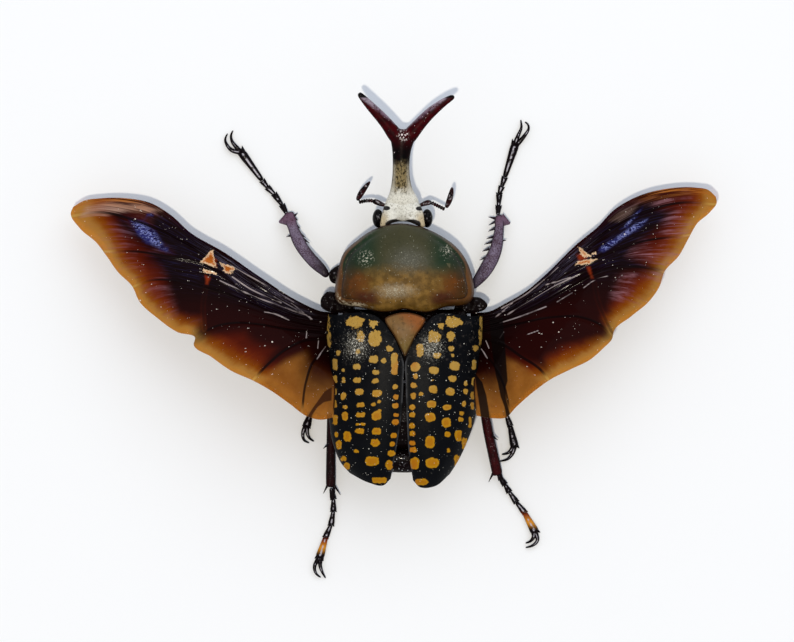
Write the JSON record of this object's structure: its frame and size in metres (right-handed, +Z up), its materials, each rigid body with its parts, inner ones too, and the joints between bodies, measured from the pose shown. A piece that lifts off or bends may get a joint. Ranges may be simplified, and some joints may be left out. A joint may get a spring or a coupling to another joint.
{
  "type": "male horned flower beetle (megalorrhina harrisi), set specimen",
  "caption": "Male flower beetle with a forked head horn, set with open wings; ochre-spotted black wing cases, olive thorax shield and dark amber hind wings.",
  "frame": {"origin": "centre of the bounding box in plan, at the floor that the feet rest on", "axes": "+X to the beetle's right, along the wings' span; +Y forward, towards the horn; +Z up from the floor"},
  "size_m": [0.084, 0.063, 0.0128],
  "materials": {
    "head_pale": "pale grey-cream chitin, satin",
    "horn_dark": "black-maroon chitin, glossy; cream towards the head",
    "eye": "black, glossy",
    "shield_olive": "dark olive-green to brown chitin, satin",
    "scutellum_tan": "tan-brown chitin, satin",
    "case_spotted": "black chitin with rows of ochre spots, satin",
    "wing_membrane": "dark red-brown membrane, amber at the hind edge, glossy",
    "body_black": "black chitin, glossy",
    "leg_brown": "dark mauve-brown chitin, satin",
    "antenna_black": "near-black chitin, satin"
  },
  "bodies": {
    "root": {"head": "head_pale", "horn_stem": "horn_dark", "horn_prong_l": "horn_dark", "horn_prong_r": "horn_dark", "eye_l": "eye", "eye_r": "eye", "antenna_l": "antenna_black", "antenna_r": "antenna_black", "antenna_club_l": "antenna_black", "antenna_club_r": "antenna_black", "mouthparts": "body_black", "pronotum": "shield_olive", "prosternum": "body_black", "scutellum": "scutellum_tan", "mesepimeron_l": "body_black", "mesepimeron_r": "body_black", "metasternum": "body_black", "sternal_keel": "body_black", "abdomen": "body_black", "pygidium": "body_black", "elytron_l": "case_spotted", "elytron_r": "case_spotted", "hindwing_l": "wing_membrane", "hindwing_r": "wing_membrane", "coxa_fore_l": "body_black", "coxa_fore_r": "body_black", "coxa_mid_l": "body_black", "coxa_mid_r": "body_black", "coxa_hind_l": "body_black", "coxa_hind_r": "body_black", "femur_fore_l": "body_black", "femur_fore_r": "body_black", "femur_mid_l": "body_black", "femur_mid_r": "body_black", "femur_hind_l": "body_black", "femur_hind_r": "body_black", "tibia_fore_l": "leg_brown", "tibia_fore_r": "leg_brown", "tibia_mid_l": "leg_brown", "tibia_mid_r": "leg_brown", "tibia_hind_l": "leg_brown", "tibia_hind_r": "leg_brown", "tarsus_fore_l": "leg_brown", "tarsus_fore_r": "leg_brown", "tarsus_mid_l": "leg_brown", "tarsus_mid_r": "leg_brown", "tarsus_hind_l": "leg_brown", "tarsus_hind_r": "leg_brown"}
  },
  "joints": []
}
